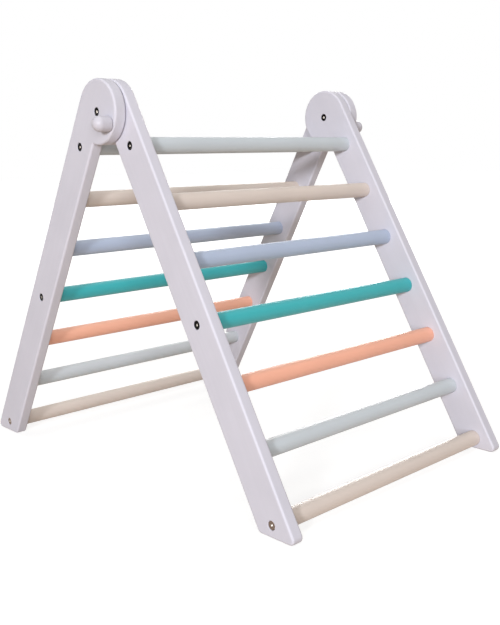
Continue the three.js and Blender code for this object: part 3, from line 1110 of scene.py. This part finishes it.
effects = {
    "grain": make_grain_effect(),
    "stipple": make_stipple_effect(),
    "coat": make_coat_effect(),
    "edge": make_edge_effect(),
    "tooling": make_tooling_effect(),
}
paint_colours = {
    "white": srgb(206, 204, 214),
    "mint": srgb(193, 200, 205),
    "cream": srgb(210, 197, 188),
    "sky": srgb(171, 183, 205),
    "teal": srgb(50, 168, 173),
    "coral": srgb(239, 174, 148),
}
across = (0, math.pi / 2, 0)
rail_paint = {
    ladder: painted_wood(f"white_{ladder}_rail_paint", paint_colours["white"], (-facing * lean_angle, 0, 0))
    for ladder, facing in ladders.items()
}
rung_paint = {
    colour: painted_wood(f"{colour}_rung_paint", paint_colours[colour], across, fibre_scale=520.0, sheen=0.7)
    for colour in ("mint", "cream", "sky", "teal", "coral")
}
knob_lacquer = lacquer("white_knob_lacquer", srgb(197, 194, 203))
# The near-white socket colours below are painted highlights in the drive sockets
black_oxide = metal(
    "black_oxide_steel",
    colour=srgb(13, 11, 11), worn_colour=srgb(44, 40, 38), socket_highlight_colour=srgb(224, 218, 211),
    wear=0.4, gloss=(0.3, 0.48),
)
nickel_plate = metal(
    "nickel_plated_steel",
    colour=srgb(122, 104, 92), worn_colour=srgb(190, 180, 170), socket_highlight_colour=srgb(240, 236, 232),
    wear=0.6, gloss=(0.22, 0.38),
)
nylon = moulded_nylon("natural_nylon", srgb(232, 232, 226))


def finish(piece, material, body, node):
    piece.data.materials.clear()
    piece.data.materials.append(material)
    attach(piece, body)
    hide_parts(node)


def dress():
    for (ladder, side), rail in make_rails().items():
        finish(rail, rail_paint[ladder], f"{ladder}_frame", f"{ladder}_rail_{side}")
    for (ladder, index), rung in make_rungs().items():
        colour = rung_paints[index]
        finish(rung, rung_paint[colour], f"{ladder}_frame", f"{ladder}_rung_{index + 1}")
    for (ladder, index, side), screw in make_screws().items():
        last = index == rung_count - 1
        steel, slot_name = (nickel_plate, "plated_steel") if last else (black_oxide, "black_steel")
        finish(screw, steel, f"{ladder}_frame", f"{ladder}_screw_{index + 1}_{side}")
    for (part, side), piece in make_pivots().items():
        coating, slot_name = (nylon, "nylon") if part == "pivot_washer" else (black_oxide, "black_steel")
        finish(piece, coating, "front_frame", f"{part}_{side}")
    lock_bodies = {
        "lock_knob": "{}_lock_knob",
        "lock_stud": "{}_lock_knob",
        "lock_washer": "{}_lock_washer",
        "lock_insert": "rear_frame",
    }
    for (part, side), piece in make_locks().items():
        knob = part == "lock_knob"
        coating, slot_name = (knob_lacquer, "white_paint") if knob else (nickel_plate, "plated_steel")
        finish(piece, coating, lock_bodies[part].format(side), f"{part}_{side}")


# Studio: the floor, lit and seen, and the glow on it that grows to white away from the object
floor_size = 40
bounce_colour = (0.48, 0.35, 0.22, 1)
shadowed_colour = (0.34, 0.34, 0.34, 1)
glow_distances = (1.0, 3.5)
glow_strengths = (0.8, 1.0)

# Light from all round
ambient_colour = (1, 0.88, 0.72, 1)
ambient_strength = 0.11
white = (1, 1, 1, 1)

# Camera of the photograph
camera_place = Vector((-1.1567, -1.2828, 0.5855))
camera_heading = math.radians(43.768)  # from +Y towards +X
camera_tilt = math.radians(-8.542)
camera_roll = math.radians(-1.009)
sensor_width = 36
focal_length = 61.38
picture_shift = (-0.0230, -0.0601)


def seen_directly(tree):
    """1 for rays that the camera, a reflection or glass sends out, and 0 for the light on the object."""
    path = add(tree, "ShaderNodeLightPath")
    seen = maths(tree, "MAXIMUM", path.outputs["Is Camera Ray"], path.outputs["Is Glossy Ray"])
    return maths(tree, "MAXIMUM", seen, path.outputs["Is Transmission Ray"])


def make_floor():
    """A pale floor that looks white to the camera and keeps the object's shadow."""
    bpy.ops.mesh.primitive_plane_add(size=floor_size)
    floor = bpy.context.object
    floor.name = "studio_floor"
    material = bpy.data.materials.new("pale_floor")
    material.use_nodes = True
    tree = material.node_tree
    tree.nodes.clear()
    out = add(tree, "ShaderNodeOutputMaterial")
    bounce = add(tree, "ShaderNodeBsdfDiffuse")
    bounce.inputs["Color"].default_value = bounce_colour
    shadowed = add(tree, "ShaderNodeBsdfDiffuse")
    shadowed.inputs["Color"].default_value = shadowed_colour
    coordinates = add(tree, "ShaderNodeTexCoord")
    away = add(tree, "ShaderNodeVectorMath", operation="LENGTH")
    feed(tree, away.inputs[0], coordinates.outputs["Object"])
    glow = add(tree, "ShaderNodeEmission")
    feed(tree, glow.inputs["Strength"], ranged(tree, away.outputs["Value"], glow_distances, glow_strengths))
    seen_floor = add(tree, "ShaderNodeAddShader")
    feed(tree, seen_floor.inputs[0], shadowed.outputs[0])
    feed(tree, seen_floor.inputs[1], glow.outputs[0])
    choice = add(tree, "ShaderNodeMixShader")
    feed(tree, choice.inputs[0], seen_directly(tree))
    feed(tree, choice.inputs[1], bounce.outputs[0])
    feed(tree, choice.inputs[2], seen_floor.outputs[0])
    feed(tree, out.inputs["Surface"], choice.outputs[0])
    floor.data.materials.append(material)


def make_world():
    """Soft light from all round, and a white background behind the object."""
    world = bpy.data.worlds.new("studio")
    bpy.context.scene.world = world
    world.use_nodes = True
    tree = world.node_tree
    tree.nodes.clear()
    out = add(tree, "ShaderNodeOutputWorld")
    ambient = add(tree, "ShaderNodeBackground")
    ambient.inputs["Color"].default_value = ambient_colour
    ambient.inputs["Strength"].default_value = ambient_strength
    backdrop = add(tree, "ShaderNodeBackground")
    backdrop.inputs["Color"].default_value = white
    backdrop.inputs["Strength"].default_value = 1
    choice = add(tree, "ShaderNodeMixShader")
    feed(tree, choice.inputs[0], seen_directly(tree))
    feed(tree, choice.inputs[1], ambient.outputs[0])
    feed(tree, choice.inputs[2], backdrop.outputs[0])
    feed(tree, out.inputs["Surface"], choice.outputs[0])


def make_lamp(name, angles, distance, size, power, colour):
    """A square softbox aimed at the middle of the object, from degrees left of the front and above it."""
    light = bpy.data.lights.new(name, "AREA")
    light.size = size
    light.energy = power
    light.color = colour
    lamp = bpy.data.objects.new(name, light)
    bpy.context.scene.collection.objects.link(lamp)
    left, height = (math.radians(angle) for angle in angles)
    aim = Vector((0, 0, pivot.z / 2))
    level = math.cos(height)
    towards = Vector((-math.sin(left) * level, -math.cos(left) * level, math.sin(height)))
    lamp.location = aim + distance * towards
    lamp.rotation_euler = (aim - lamp.location).to_track_quat("-Z", "Y").to_euler()


def make_camera():
    """The photograph's viewing place and angle."""
    reach = math.cos(camera_tilt)
    forward = Vector(
        (math.sin(camera_heading) * reach, math.cos(camera_heading) * reach, math.sin(camera_tilt))
    )
    level = forward.cross(Vector((0, 0, 1))).normalized()
    upright = level.cross(forward)
    right = math.cos(camera_roll) * level + math.sin(camera_roll) * upright
    up = right.cross(forward)
    data = bpy.data.cameras.new("photo_camera")
    data.sensor_fit = "HORIZONTAL"
    data.sensor_width = sensor_width
    data.lens = focal_length
    data.shift_x, data.shift_y = picture_shift
    camera = bpy.data.objects.new("photo_camera", data)
    bpy.context.scene.collection.objects.link(camera)
    turned = Matrix((right, up, -forward)).transposed().to_4x4()
    camera.matrix_world = Matrix.Translation(camera_place) @ turned
    bpy.context.scene.camera = camera


make_camera()
dress()
make_floor()
make_world()
make_lamp("key_softbox", (60, 13), distance=6.0, size=0.7, power=214, colour=(0.93, 0.955, 1))
make_lamp("front_panel", (36, 10), distance=9.0, size=3.6, power=412, colour=(0.93, 0.955, 1))
make_lamp("back_panel", (-130, 12), distance=9.0, size=3.6, power=470, colour=(1, 1, 1))
make_lamp("top_panel", (0, 90), distance=5.0, size=3.0, power=98, colour=(1, 0.97, 0.92))
bpy.context.scene.view_settings.view_transform = "Standard"
